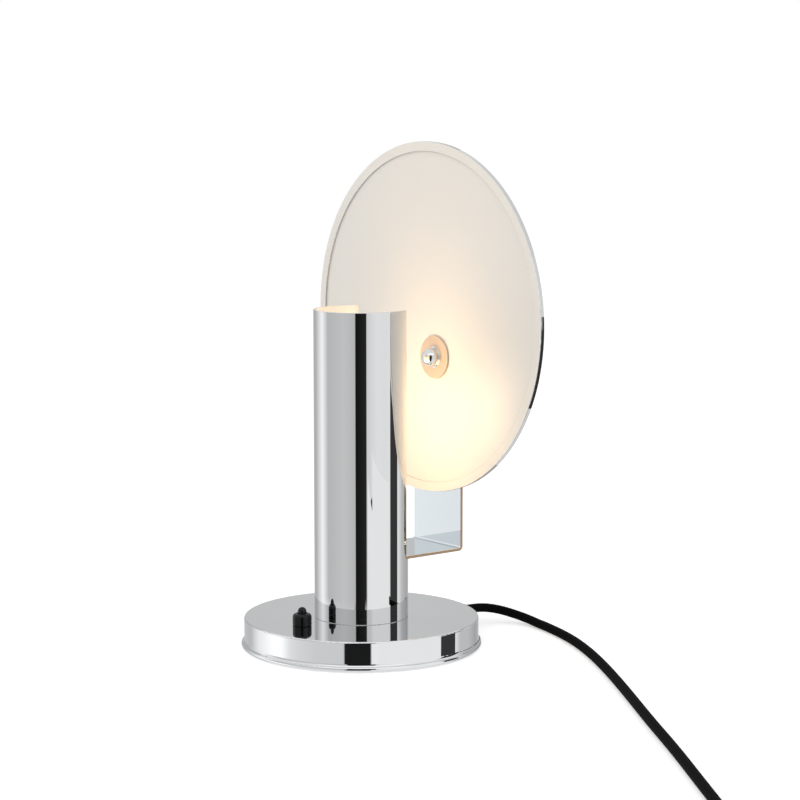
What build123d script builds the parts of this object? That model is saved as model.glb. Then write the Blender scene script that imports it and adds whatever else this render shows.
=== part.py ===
from build123d import *
import os
from math import acos, atan2, cos, hypot, pi, radians, sin, sqrt, tan

# Bedside lamp: an upright chromed tube with a window towards a round white reflector, on a round base.
# Millimetres. Origin at the middle of the foot on the table, +Z up, +Y from the tube towards the reflector.

# Plays shared by all pieces
overrun = 2.0
slip = 0.1
turning_play = 0.05
thread_play = 0.05
edge_break = 0.3

# Base
base_radius = 75.0
base_height = 19.0
base_wall = 1.8
base_roof = 2.0
base_edge_round = 0.9
lip_overhang = 1.9
lip_flare_top = 5.5
lip_bead_top = 3.3
lip_bead_setback = 0.4
lip_foot_setback = 0.9
lip_clearance = 0.8
felt_thickness = 1.5
felt_inset = 2.0
cover_thickness = 1.5
cover_play = 0.2
weight_headroom = 7.0
weight_play = 0.6
weight_opening = 17.0
post_bearings = [0.0, 120.0, 240.0]
post_setback = 23.2
post_radius = 4.0
cover_screw_radius = 2.0
cover_screw_head = 3.8
cover_screw_bite = 5.0

# Tube and what stands inside it
tube_radius = 30.0
tube_wall = 1.5
tube_height = 196.8
window_setback = 5.5
tube_plug_height = 8.0
rod_radius = 5.0
rod_bore = 3.5
rod_stub = 1.0
rod_foot_share = 2 / 7
nut_across_flats = 14.0
nut_height = 5.0
rod_washer_radius = 9.0
rod_washer_thickness = 1.2

# Bracket
strip_play = 0.5
strip_thickness = 1.8
strip_front = 62.6
bend_radius = 1.2
leg_rise = 37.9
leg_play = 1.2

# Reflector and its pivot
pin_rise = 162.3
pin_radius = 3.0
disc_radius = 113.8
disc_offset = 27.1
disc_turn = 22.7
plate_thickness = 1.5
rim_face_width = 6.2
rim_face_thickness = 1.2
rim_wall = 1.0
rear_washer_radius = 14.0
rear_washer_thickness = 0.3
soft_washer_radius = 11.0
soft_washer_thickness = 0.5
front_washer_radius = 13.9
front_washer_thickness = 1.0
dome_collar_radius = 7.0
dome_collar_thickness = 0.7
dome_radius = 6.2
dome_rise = 1.6
dome_thread_depth = 5.5
back_washer_radius = 7.0
back_washer_thickness = 1.0
spring_washer_radius = 5.5
spring_washer_thickness = 1.4
spring_washer_slit = 1.2
back_nut_across_flats = 10.0
back_nut_height = 5.0
back_nut_dome = 4.4
back_thread_depth = 4.5

# Lampholder and bulb
holder_radius = 13.5
holder_nut_room = 0.917
holder_base_height = 14.0
holder_base_wall = 3.0
holder_floor = 3.0
holder_nut_height = 3.0
holder_shell_wall = 1.8
holder_shell_height = 31.8
insert_height = 10.0
insert_lead_play = 0.2
insert_lead_depth = 4.0
screw_shell_wall = 0.6
screw_shell_height = 19.5
screw_shell_floor = 1.0
screw_shell_hole_play = 1.5
contact_radius = 2.5
contact_height = 2.2
bulb_tip_radius = 2.2
bulb_tip_height = 1.6
bulb_insulator_height = 2.0
bulb_insulator_radius = 3.5
bulb_cap_radius = 6.9
bulb_thread_play = 0.5
bulb_cap_height = 18.0
bulb_neck_inset = 0.4
bulb_radius = 22.5
bulb_rise = 35.5
bulb_glass_wall = 0.9

# Switch
switch_tube_gap = 10.8
switch_bearing = -90.0
switch_body_radius = 7.0
switch_floor = 6.0
switch_base_thickness = 1.5
switch_neck_radius = 4.8
switch_neck_gap = 0.8
switch_chamber_play = 0.2
switch_chamber_ceiling = 1.5
switch_cap_wall = 1.2
switch_cap_chamfer = 0.4
switch_cap_height = 7.8
switch_cap_land = 0.3
switch_mouth_play = 0.75
switch_cap_top = 1.4
button_radius = 2.75
button_stand = 3.9
button_flange_step = 0.65
button_flange_thickness = 1.2
spring_wire = 0.3
spring_play = 0.7
spring_turns = 3
terminal_width = 2.4
terminal_height = 3.0
terminal_spread = 3.0

# Mains cord, its outlet and the leads inside
cord_radius = 3.0
cord_drop = 6.5
relief_inside = 7.0
relief_outside = 12.0
relief_root_wall = 1.6
relief_tip_wall = 0.5
relief_flange_step = 1.0
relief_flange_thickness = 1.5
relief_grooves = 3
relief_groove_width = 1.4
relief_groove_depth = 0.5
cord_hole_play = 0.1
inner_cord_stub = 11.8
channel_play = 3.0
clamp_setback = 16.2
clamp_length = 8.0
clamp_margin = 1.2
clamp_cover = 1.5
clamp_screw_radius = 1.5
clamp_screw_head = 2.8
clamp_screw_head_height = 1.4
clamp_screw_land = 3.0
clamp_screw_bite = 4.0
lead_radius = 0.8
lead_spread = 1.3
lead_floor = 3.5
lead_mouth = 12.0
lead_stub = 6.0
lead_turn = 9.0
lead_aside = 4.0
lead_bend = 3.0

# Route of the free cord from the outlet to the coil, chosen point by point
cord_route = [
    (0.0, 87.0, 10.5),
    (0.0, 96.7, 10.5),
    (3.2, 105.8, 9.6),
    (9.0, 113.2, 7.6),
    (17.1, 118.1, 5.4),
    (26.4, 120.0, 3.9),
    (37.0, 118.7, 3.2),
    (47.8, 116.7, 3.1),
    (69.2, 110.9, 3.1),
    (90.6, 103.1, 3.1),
    (117.5, 90.3, 3.1),
    (148.3, 73.2, 3.1),
    (182.2, 52.8, 3.1),
    (218.0, 30.4, 3.1),
    (255.8, 6.5, 3.1),
    (303.6, -22.7, 3.1),
    (355.4, -56.1, 3.1),
    (401.2, -85.9, 3.6),
]
run_share = 0.45

# Coil of spare cord with its tie
coil_middle = (474.9, -89.4)
coil_heading = 52.6
coil_lift = 1.2
coil_gap = 0.6
coil_inner_radius = 24.6
coil_turnback_step = 4.5
coil_lower_half_turns = 5
coil_upper_half_turns = 6
coil_lead = 6.0
coil_entry_run = 27.0
coil_tail_run = 32.0
coil_tail_drift = 1.9
tie_thickness = 0.9
tie_width = 7.0
tie_play = 0.25

# Plug
plug_floor_gap = 0.1
plug_thickness = 14.0
plug_width = 34.0
plug_length = 36.0
plug_neck_width = 17.0
plug_shoulder_share = 0.45
plug_round = 3.0
plug_relief_length = 22.0
plug_relief_root = 5.0
plug_relief_tip_wall = 0.6
plug_relief_grooves = 4
plug_groove_width = 1.4
plug_groove_depth = 0.9
plug_pin_radius = 2.0
plug_pin_length = 19.0
plug_pin_spacing = 18.6

# Heights that the pieces stack up to
cover_low = felt_thickness
cover_high = cover_low + cover_thickness
lead_z = cover_high + lead_floor
roof_low = base_height - base_roof
weight_high = roof_low - weight_headroom
shell_bore = base_radius - base_wall
post_reach = shell_bore - post_setback
base_washer_low = roof_low - rod_washer_thickness
base_nut_low = base_washer_low - nut_height
rod_low = base_nut_low - rod_foot_share * (base_nut_low - lead_z - lead_radius)
plug_high = base_height + tube_plug_height
tube_high = base_height + tube_height
leg_low = base_height + leg_rise
leg_high = leg_low + strip_thickness
tube_bore = tube_radius - tube_wall
window_width = 2 * (tube_radius - window_setback)
strip_width = window_width - 2 * strip_play
leg_tail = sqrt((tube_bore - leg_play) ** 2 - (strip_width / 2) ** 2)
holder_floor_high = leg_high + holder_floor
holder_foot_radius = nut_across_flats / sqrt(3) + holder_nut_room + holder_base_wall
screw_shell_radius = bulb_cap_radius + bulb_thread_play + screw_shell_wall
screw_shell_hole = contact_radius + screw_shell_hole_play
rod_high = holder_floor_high + holder_nut_height + rod_stub
holder_base_high = leg_high + holder_base_height
insert_high = holder_base_high + insert_height
lead_high = holder_base_high + insert_lead_depth
bulb_tip_low = insert_high + contact_height
bulb_cap_low = bulb_tip_low + bulb_tip_height
bulb_cap_high = bulb_cap_low + bulb_insulator_height + bulb_cap_height
bulb_middle = bulb_cap_high + bulb_rise

# Distances along the cord's outlet, measured from the tube's axis
cord_height = roof_low - cord_drop
relief_back = shell_bore - relief_inside
relief_front = base_radius + relief_outside
relief_root = cord_radius + relief_root_wall
relief_tip = cord_radius + relief_tip_wall
relief_flange_radius = relief_root + relief_flange_step
channel_width = 2 * cord_radius + channel_play
clamp_reach = relief_back - clamp_setback
clamp_screw_spread = channel_width / 2 + clamp_screw_radius + clamp_screw_land
clamp_width = 2 * (clamp_screw_spread + clamp_screw_head + clamp_margin)
inner_cord_front = clamp_reach - clamp_length / 2 - inner_cord_stub

# Distances along the pivot pin, measured from the tube's axis
pin_z = base_height + pin_rise
strip_back = strip_front + strip_thickness
plate_back = strip_front - rear_washer_thickness
plate_front = plate_back - plate_thickness
rim_front = plate_front - rim_face_thickness
front_washer_back = plate_front - soft_washer_thickness
front_washer_front = front_washer_back - front_washer_thickness
dome_front = front_washer_front - dome_collar_thickness
spring_washer_front = strip_back + back_washer_thickness
back_nut_front = spring_washer_front + spring_washer_thickness

# Heights of the switch
switch_cap_radius = switch_neck_radius + switch_cap_wall
switch_reach = tube_radius + switch_tube_gap + switch_cap_radius
switch_x = switch_reach * cos(radians(switch_bearing))
switch_y = switch_reach * sin(radians(switch_bearing))
switch_body_low = cover_high + switch_floor
switch_base_low = switch_body_low - switch_base_thickness
chamber_high = roof_low - switch_chamber_ceiling
switch_cap_high = base_height + switch_cap_height
switch_cap_ceiling = switch_cap_high - switch_cap_top
neck_high = switch_cap_ceiling - switch_neck_gap

# Widths of the switch
switch_cap_mouth = button_radius + switch_mouth_play
switch_cap_round = switch_cap_radius - switch_cap_mouth - switch_cap_land
button_flange_radius = button_radius + button_flange_step
switch_chamber_radius = button_flange_radius + switch_chamber_play
spring_radius = switch_chamber_radius - spring_play - spring_wire


def column(radius, low, high):
    return Pos(0, 0, low) * Cylinder(radius, high - low, align=(Align.CENTER, Align.CENTER, Align.MIN))


def sleeve(outer, inner, low, high):
    return column(outer, low, high) - column(inner, low - overrun, high + overrun)


def turned(profile):
    outline = [(radius, 0, height) for radius, height in profile]
    return revolve(make_face(Polyline(*outline, close=True)), Axis.Z)


def hex_prism(across_flats, low, high):
    hexagon = RegularPolygon(across_flats / 2, 6, major_radius=False)
    return Pos(0, 0, low) * extrude(hexagon, high - low)


def across_pin(piece):
    # A piece modelled upright is laid along +Y at the height of the pivot pin.
    return Pos(0, 0, pin_z) * Rot(-90, 0, 0) * piece


def at_switch(piece):
    return Pos(switch_x, switch_y, 0) * Rot(0, 0, switch_bearing) * piece


def tube_on(path, radius):
    section = Plane(origin=path @ 0, z_dir=path % 0) * Circle(radius)
    return sweep(section, path=path)


def arc_chain(points, heading):
    arcs = []
    for start, end in zip(points, points[1:]):
        arcs.append(TangentArc(start, end, tangent=heading))
        heading = arcs[-1] % 1
    return arcs, heading


def bent_lead(points, bend):
    return tube_on(Wire(FilletPolyline(*points, radius=bend).edges()), lead_radius)


# Base pieces
def base_shell():
    lip_radius = base_radius + lip_overhang
    bead_radius = lip_radius - lip_bead_setback
    foot_radius = lip_radius - lip_foot_setback
    roof_edge = base_radius - base_edge_round
    wall_top = base_height - base_edge_round
    corner_share = sqrt(2) / 2
    round_middle = (roof_edge + base_edge_round * corner_share, 0, wall_top + base_edge_round * corner_share)
    flare_drop = lip_flare_top - lip_bead_top
    flare_out = bead_radius - base_radius
    flare_middle = (bead_radius - flare_out * corner_share, 0, lip_bead_top + flare_drop * (1 - corner_share))
    bead_middle = (lip_radius, 0, (lip_bead_top + lip_clearance) / 2)
    rod_hole = rod_radius + slip
    outline = [
        Line((rod_hole, 0, roof_low), (rod_hole, 0, base_height)),
        Line((rod_hole, 0, base_height), (roof_edge, 0, base_height)),
        ThreePointArc((roof_edge, 0, base_height), round_middle, (base_radius, 0, wall_top)),
        Line((base_radius, 0, wall_top), (base_radius, 0, lip_flare_top)),
        ThreePointArc((base_radius, 0, lip_flare_top), flare_middle, (bead_radius, 0, lip_bead_top)),
        ThreePointArc((bead_radius, 0, lip_bead_top), bead_middle, (foot_radius, 0, lip_clearance)),
        Line((foot_radius, 0, lip_clearance), (shell_bore, 0, lip_clearance)),
        Line((shell_bore, 0, lip_clearance), (shell_bore, 0, roof_low)),
        Line((shell_bore, 0, roof_low), (rod_hole, 0, roof_low)),
    ]
    shell = revolve(make_face(outline), Axis.Z)
    bolt_hole = cover_screw_radius + thread_play
    for bearing in post_bearings:
        post = sleeve(post_radius, bolt_hole, weight_high, roof_low)
        shell += Rot(0, 0, bearing) * Pos(post_reach, 0, 0) * post
    shell -= at_switch(column(switch_neck_radius + slip, roof_low - overrun, base_height + overrun))
    cord_hole = column(relief_root + cord_hole_play, shell_bore - overrun, base_radius + lip_overhang + overrun)
    return shell - Pos(0, 0, cord_height) * Rot(-90, 0, 0) * cord_hole


def base_weight():
    rim = shell_bore - weight_play
    weight = sleeve(rim, weight_opening, cover_high, weight_high)
    depth = 2 * (weight_high - cover_high + overrun)
    channel = Pos(0, 0, cover_high) * Box(
        channel_width, rim + overrun, depth, align=(Align.CENTER, Align.MIN, Align.CENTER))
    weight -= channel
    weight -= Rot(0, 0, switch_bearing - 90) * Pos(0, 0, cover_high) * Box(
        channel_width, switch_reach, depth, align=(Align.CENTER, Align.MIN, Align.CENTER))
    pocket = switch_body_radius + weight_play
    weight -= at_switch(column(pocket, cover_high - overrun, weight_high + overrun))
    weight -= Pos(0, relief_back - weight_play, cover_high) * Box(
        2 * (relief_flange_radius + weight_play), rim, depth, align=(Align.CENTER, Align.MIN, Align.CENTER))
    bolt_hole = column(cover_screw_radius + slip, cover_high - overrun, weight_high + overrun)
    for bearing in post_bearings:
        weight -= Rot(0, 0, bearing) * Pos(post_reach, 0, 0) * bolt_hole
    screw_hole = column(clamp_screw_radius + thread_play, weight_high - clamp_screw_bite, weight_high + overrun)
    for side in (-1, 1):
        weight -= Pos(side * clamp_screw_spread, clamp_reach, 0) * screw_hole
    return weight


def cover_screw(play):
    shank = cover_screw_radius + play
    head = cover_screw_head + play
    tip = weight_high + cover_screw_bite
    return turned([(0, cover_low), (head, cover_low), (shank, cover_high), (shank, tip), (0, tip)])


def base_cover():
    cover = column(shell_bore - cover_play, cover_low, cover_high)
    for bearing in post_bearings:
        cover -= Rot(0, 0, bearing) * Pos(post_reach, 0, 0) * cover_screw(slip)
    return cover


def cover_screws():
    return Compound([Rot(0, 0, bearing) * Pos(post_reach, 0, 0) * cover_screw(0) for bearing in post_bearings])


def felt_pad():
    return column(shell_bore - felt_inset, 0, felt_thickness)


# Tube, rod and nuts
def lamp_tube():
    tube = sleeve(tube_radius, tube_bore, base_height, tube_high)
    window = Pos(0, 0, leg_low) * Box(
        window_width, tube_radius + overrun, tube_high - leg_low + overrun,
        align=(Align.CENTER, Align.MIN, Align.MIN))
    tube -= window
    mouth = tube.edges().group_by(Axis.Z)[-1]
    foot = tube.edges().group_by(Axis.Z)[0].sort_by(SortBy.RADIUS)[-1]
    return fillet([*mouth, foot], edge_break)


def tube_plug():
    return sleeve(tube_bore - turning_play, rod_radius + slip, base_height, plug_high)


def centre_rod():
    return sleeve(rod_radius, rod_bore, rod_low, rod_high)


def rod_nut(low, high):
    return hex_prism(nut_across_flats, low, high) - column(rod_radius + thread_play, low - overrun, high + overrun)


def base_washer():
    return sleeve(rod_washer_radius, rod_radius + slip, base_washer_low, roof_low)


# Bracket, folded from one strip
def bracket():
    fold_y = strip_front - bend_radius
    fold_z = leg_high + bend_radius
    outer_bend = bend_radius + strip_thickness
    side = make_face([
        Line((-leg_tail, leg_high), (fold_y, leg_high)),
        CenterArc((fold_y, fold_z), bend_radius, -90, 90),
        Line((strip_front, fold_z), (strip_front, pin_z)),
        Line((strip_front, pin_z), (strip_back, pin_z)),
        Line((strip_back, pin_z), (strip_back, fold_z)),
        CenterArc((fold_y, fold_z), outer_bend, -90, 90),
        Line((fold_y, leg_low), (-leg_tail, leg_low)),
        Line((-leg_tail, leg_low), (-leg_tail, leg_high)),
    ])
    strip = extrude(Plane.YZ * side, strip_width / 2, both=True)
    strip += across_pin(column(strip_width / 2, strip_front, strip_back))
    strip = fillet(strip.edges().filter_by(lambda edge: edge.center().Z > leg_high + bend_radius), edge_break)
    strip -= column(rod_radius + slip, leg_low - overrun, leg_high + overrun)
    return strip - across_pin(column(pin_radius + slip, strip_front - overrun, strip_back + overrun))


# Reflector: a white plate in a shallow rim, both off centre on the pin
def off_centre(piece):
    shift = Pos(-disc_offset * sin(radians(disc_turn)), -disc_offset * cos(radians(disc_turn)), 0)
    return across_pin(shift * piece)


def disc_plate():
    plate = off_centre(column(disc_radius - rim_wall - turning_play, plate_front, plate_back))
    return plate - across_pin(column(pin_radius + turning_play, plate_front - overrun, plate_back + overrun))


def disc_rim():
    face = sleeve(disc_radius, disc_radius - rim_face_width, rim_front, plate_front)
    wall = sleeve(disc_radius, disc_radius - rim_wall, plate_front, plate_back)
    rim = face + wall
    return off_centre(fillet(rim.edges().group_by(Axis.Z)[0], edge_break))


def pivot_stud():
    front = dome_front + dome_collar_thickness - dome_thread_depth
    back = back_nut_front + back_thread_depth
    return across_pin(column(pin_radius, front, back))


def pin_washer(radius, front, back):
    return across_pin(sleeve(radius, pin_radius + slip, front, back))


def front_washer():
    washer = column(front_washer_radius, front_washer_front, front_washer_back)
    washer = fillet(washer.edges().group_by(Axis.Z)[0], edge_break)
    return across_pin(washer - column(pin_radius + slip, front_washer_front - overrun, front_washer_back + overrun))


def dome_nut():
    collar = column(dome_collar_radius, dome_front, front_washer_front)
    collar = fillet(collar.edges().group_by(Axis.Z)[0], edge_break)
    dome = Pos(0, 0, dome_front - dome_rise) * Sphere(dome_radius)
    dome -= column(dome_collar_radius, dome_front, dome_front + dome_radius + overrun)
    depth = front_washer_front - dome_thread_depth - slip
    hole = column(pin_radius + thread_play, depth, front_washer_front + overrun)
    return across_pin(collar + dome - hole)


def spring_washer():
    ring = sleeve(spring_washer_radius, pin_radius + slip, spring_washer_front, back_nut_front)
    slit = Pos(0, 0, spring_washer_front) * Box(
        spring_washer_radius + overrun, spring_washer_slit, 2 * (spring_washer_thickness + overrun),
        align=(Align.MIN, Align.CENTER, Align.CENTER))
    return across_pin(ring - slit)


def back_nut():
    shoulder = back_nut_front + back_nut_height
    nut = hex_prism(back_nut_across_flats, back_nut_front, shoulder)
    nut += Pos(0, 0, shoulder) * Sphere(back_nut_dome) - column(back_nut_dome, shoulder - back_nut_dome, shoulder)
    depth = back_nut_front + back_thread_depth + slip
    return across_pin(nut - column(pin_radius + thread_play, back_nut_front - overrun, depth))


# Lampholder
def holder_base():
    cup = turned([
        (rod_radius + thread_play, leg_high), (holder_foot_radius, leg_high), (holder_radius, holder_base_high),
        (holder_radius - holder_base_wall, holder_base_high),
        (holder_foot_radius - holder_base_wall, holder_floor_high), (rod_radius + thread_play, holder_floor_high),
    ])
    return cup


def holder_shell():
    return sleeve(holder_radius, holder_radius - holder_shell_wall, holder_base_high,
                  holder_base_high + holder_shell_height)


def holder_insert():
    insert = column(holder_radius - holder_shell_wall - slip, holder_base_high, insert_high)
    lead_hole = column(lead_radius + insert_lead_play, holder_base_high - overrun, lead_high)
    for side in (-1, 1):
        insert -= Pos(side * lead_spread, 0, 0) * lead_hole
    return insert


def holder_thread():
    cup = sleeve(screw_shell_radius, screw_shell_radius - screw_shell_wall, insert_high,
                 insert_high + screw_shell_height)
    return cup + sleeve(screw_shell_radius, screw_shell_hole, insert_high, insert_high + screw_shell_floor)


def holder_contact():
    return column(contact_radius, insert_high, bulb_tip_low)


# Bulb
def bulb_cap():
    thread_low = bulb_cap_low + bulb_insulator_height
    return turned([
        (0, bulb_tip_low), (bulb_tip_radius, bulb_tip_low), (bulb_tip_radius, bulb_cap_low),
        (bulb_insulator_radius, bulb_cap_low), (bulb_cap_radius, thread_low), (bulb_cap_radius, bulb_cap_high),
        (0, bulb_cap_high),
    ])


def bulb_outline(neck, globe):
    # A round globe that runs down into a slimmer neck along a tangent cone
    top = bulb_middle + globe
    leave = atan2(neck, bulb_rise) + acos(globe / hypot(neck, bulb_rise))
    meet = (globe * sin(leave), 0, bulb_middle - globe * cos(leave))
    side = (globe, 0, bulb_middle)
    lower = (globe * sin((leave + pi / 2) / 2), 0, bulb_middle - globe * cos((leave + pi / 2) / 2))
    upper = (globe * cos(pi / 4), 0, bulb_middle + globe * sin(pi / 4))
    return [
        Line((neck, 0, bulb_cap_high), meet),
        ThreePointArc(meet, lower, side),
        ThreePointArc(side, upper, (0, 0, top)),
    ]


def bulb_glass():
    neck = bulb_cap_radius - bulb_neck_inset
    outer = bulb_outline(neck, bulb_radius)
    inner = bulb_outline(neck - bulb_glass_wall, bulb_radius - bulb_glass_wall)
    ends = [Line(outer[0] @ 0, inner[0] @ 0), Line(outer[-1] @ 1, inner[-1] @ 1)]
    return revolve(make_face(outer + inner + ends), Axis.Z)


# Switch
def switch_body():
    body = column(switch_body_radius, switch_body_low, roof_low) + column(switch_neck_radius, roof_low, neck_high)
    body -= column(switch_chamber_radius, switch_body_low - overrun, chamber_high)
    return at_switch(body - column(button_radius + turning_play, chamber_high - overrun, neck_high + overrun))


def switch_base():
    return at_switch(column(switch_body_radius, switch_base_low, switch_body_low))


def switch_cap():
    bore = switch_neck_radius + thread_play
    cap = turned([
        (bore, base_height), (switch_cap_radius - switch_cap_chamfer, base_height),
        (switch_cap_radius, base_height + switch_cap_chamfer), (switch_cap_radius, switch_cap_high),
        (switch_cap_mouth, switch_cap_high), (switch_cap_mouth, switch_cap_ceiling), (bore, switch_cap_ceiling),
    ])
    shoulder = cap.edges().filter_by(GeomType.CIRCLE).group_by(Axis.Z)[-1].sort_by(SortBy.RADIUS)[-1]
    return at_switch(fillet(shoulder, switch_cap_round))


def switch_button():
    ball = switch_cap_high + button_stand - button_radius
    flange_low = chamber_high - button_flange_thickness
    button = column(button_radius, chamber_high, ball) + Pos(0, 0, ball) * Sphere(button_radius)
    return at_switch(button + column(button_flange_radius, flange_low, chamber_high))


def spring_path():
    low = switch_body_low + spring_wire
    high = chamber_high - button_flange_thickness - spring_wire
    quarters = 4 * spring_turns
    rise = (high - low) / quarters
    points = []
    for step in range(quarters + 1):
        angle = step * pi / 2
        points.append(Vector(spring_radius * cos(angle), spring_radius * sin(angle), low + step * rise))
    arcs, _ = arc_chain(points, Vector(0, spring_radius * pi / 2, rise))
    return Wire([arc.edge() for arc in arcs])


def switch_spring():
    return at_switch(tube_on(spring_path(), spring_wire))


def switch_terminals():
    terminals = []
    for side in (-1, 1):
        block = Box(terminal_width, terminal_width, terminal_height, align=(Align.CENTER, Align.CENTER, Align.MAX))
        terminals.append(at_switch(Pos(0, side * terminal_spread, switch_base_low) * block))
    return Compound(terminals)


# Outlet, clamp and leads in the base
def along_outlet(piece):
    # A piece modelled upright is laid along +Y at the height of the outlet.
    return Pos(0, 0, cord_height) * Rot(-90, 0, 0) * piece


def cord_relief():
    flange_high = sqrt(shell_bore ** 2 - relief_flange_radius ** 2) - slip
    relief = turned([
        (0, relief_back), (relief_root, relief_back), (relief_root, flange_high - relief_flange_thickness),
        (relief_flange_radius, flange_high - relief_flange_thickness), (relief_flange_radius, flange_high),
        (relief_root, flange_high), (relief_root, base_radius), (relief_tip, relief_front), (0, relief_front),
    ])
    spacing = relief_outside / (relief_grooves + 1)
    for groove in range(1, relief_grooves + 1):
        middle = base_radius + groove * spacing
        outer = relief_root + (relief_tip - relief_root) * groove / (relief_grooves + 1)
        relief -= sleeve(outer + overrun, outer - relief_groove_depth, middle - relief_groove_width / 2,
                         middle + relief_groove_width / 2)
    return along_outlet(relief)


def inner_cord():
    return along_outlet(column(cord_radius, inner_cord_front, relief_back))


def cord_clamp():
    top = cord_height + cord_radius + clamp_cover
    clamp = Pos(0, clamp_reach, weight_high) * Box(
        clamp_width, clamp_length, top - weight_high, align=(Align.CENTER, Align.CENTER, Align.MIN))
    clamp -= along_outlet(column(cord_radius + turning_play, clamp_reach - clamp_width, clamp_reach + clamp_width))
    for side in (-1, 1):
        clamp -= Pos(side * clamp_screw_spread, clamp_reach, 0) * column(
            clamp_screw_radius + slip, weight_high - overrun, top + overrun)
    return clamp


def clamp_screws():
    top = cord_height + cord_radius + clamp_cover
    screw = column(clamp_screw_radius, weight_high - clamp_screw_bite, top)
    screw += column(clamp_screw_head, top, top + clamp_screw_head_height)
    return Compound([Pos(side * clamp_screw_spread, clamp_reach, 0) * screw for side in (-1, 1)])


def switch_side(side):
    # A lead's last run, down the channel to the inward face of a switch terminal
    face = switch_reach - terminal_width / 2
    turn = Rot(0, 0, switch_bearing)
    return [(turn * Pos(reach, side * terminal_spread, lead_z)).position for reach in (lead_mouth, face)]


def lead_neutral():
    x = -lead_spread
    descent = inner_cord_front - lead_stub
    return bent_lead([
        (x, inner_cord_front, cord_height), (x, descent, cord_height), (x, lead_turn, lead_z),
        (x, 0, lead_z), (x, 0, lead_high),
    ], lead_bend)


def lead_switched():
    x = lead_spread
    mouth, end = switch_side(-1)
    return bent_lead([end, mouth, (x, 0, lead_z), (x, 0, lead_high)], lead_bend)


def lead_live():
    x = lead_spread
    descent = inner_cord_front - lead_stub
    mouth, end = switch_side(1)
    return bent_lead([
        (x, inner_cord_front, cord_height), (x, descent, cord_height), (lead_aside, lead_turn, lead_z),
        mouth, end,
    ], lead_bend)


# Free cord and its coil
coil_place = Pos(coil_middle[0], coil_middle[1], 0) * Rot(0, 0, coil_heading)
coil_low = coil_lift + cord_radius
coil_turn_step = 2 * cord_radius + coil_gap
coil_high = coil_low + coil_turn_step
plug_axis = plug_floor_gap + plug_thickness / 2
plug_relief_tip = cord_radius + plug_relief_tip_wall
coil_half_step = coil_turn_step / 2
coil_first_turn = coil_inner_radius + coil_turnback_step
coil_start_radius = coil_first_turn + (coil_lower_half_turns - 1) * coil_half_step
coil_end_radius = coil_first_turn + (coil_upper_half_turns - 1) * coil_half_step


def coil_edges():
    # Turns to the left: inwards on the table, up a layer, outwards on top, then down to the plug
    side = -1
    points = [Vector(side * coil_start_radius, 0, coil_low)]
    for turn in range(1, coil_lower_half_turns):
        side = -side
        points.append(Vector(side * (coil_start_radius - turn * coil_half_step), 0, coil_low))
    points.append(Vector(-side * coil_inner_radius, 0, coil_low))
    climb = (coil_high - coil_low) / 2
    points.append(Vector(0, sqrt(coil_inner_radius ** 2 + climb ** 2), coil_low + climb))
    points.append(Vector(side * coil_inner_radius, 0, coil_high))
    for turn in range(coil_upper_half_turns):
        side = -side
        points.append(Vector(side * (coil_first_turn + turn * coil_half_step), 0, coil_high))
    points.append(Vector(0, -(coil_end_radius + coil_half_step / 2), coil_high))
    drop = (plug_axis - coil_high) / 2
    points.append(points[-1] + Vector(coil_tail_run, -coil_tail_drift, drop))
    arcs, heading = arc_chain(points, Vector(0, -1, 0))
    away = Vector(1, 0, 0)
    end = points[-1] + (heading + away).normalized() * coil_tail_run
    arcs.append(TangentArc(points[-1], end, tangent=heading))
    lead_in = Line(points[0] + Vector(0, coil_lead, 0), points[0])
    lead_out = Line(end, end + away * coil_lead)
    return [lead_in] + arcs + [lead_out]


coil_wire = Wire([piece.edge() for piece in coil_edges()])


def least_self_gap(path, diameter, samples):
    # Least clear distance between stretches of the path that are more than a quarter turn apart
    spots = [path @ (step / samples) for step in range(samples + 1)]
    apart = int(samples * coil_inner_radius * pi / path.length) + 1
    least = path.length
    for first in range(len(spots)):
        for second in range(first + apart, len(spots)):
            least = min(least, (spots[first] - spots[second]).length)
    return least - diameter


def cord_coil():
    return coil_place * tube_on(coil_wire, cord_radius)


def full_route():
    start = (coil_place * Pos(-coil_start_radius, coil_lead, coil_low)).position
    before = (coil_place * Pos(-coil_start_radius, coil_lead + coil_entry_run, coil_low)).position
    return [Vector(*point) for point in cord_route] + [before, start]


def route_radii(points):
    radii = []
    for before, corner, after in zip(points, points[1:], points[2:]):
        turn = radians((corner - before).get_angle(after - corner))
        shorter = min((corner - before).length, (after - corner).length)
        radii.append(run_share * shorter / tan(turn / 2))
    return radii


def mains_cord():
    points = full_route()
    radii = route_radii(points)
    path = Wire(FilletPolyline(*points, radius=radii).edges())
    tube = tube_on(path, cord_radius)
    print("cord radii", [round(radius, 1) for radius in radii])
    print("free cord length", round(path.length, 1), "coil length", round(coil_wire.length, 1))
    print("cord volume ratio", round(tube.volume / (pi * cord_radius ** 2 * path.length), 4))
    return tube


def cord_tie():
    inside = sqrt((coil_inner_radius - cord_radius) ** 2 - (tie_width / 2) ** 2) - tie_play
    outside = coil_end_radius - coil_half_step + cord_radius + tie_play
    low = coil_low - cord_radius - tie_play
    high = coil_high + cord_radius + tie_play
    hole = Pos((inside + outside) / 2, 0, (low + high) / 2) * Box(outside - inside, 2 * tie_width, high - low)
    band = Pos((inside + outside) / 2, 0, (low + high) / 2) * Box(
        outside - inside + 2 * tie_thickness, tie_width, high - low + 2 * tie_thickness)
    band = fillet(band.edges().filter_by(Axis.Y), tie_thickness)
    return coil_place * (band - hole)


# Plug at the end of the coil, lying beside it
plug_place = coil_place * Pos(coil_wire @ 1)


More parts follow.
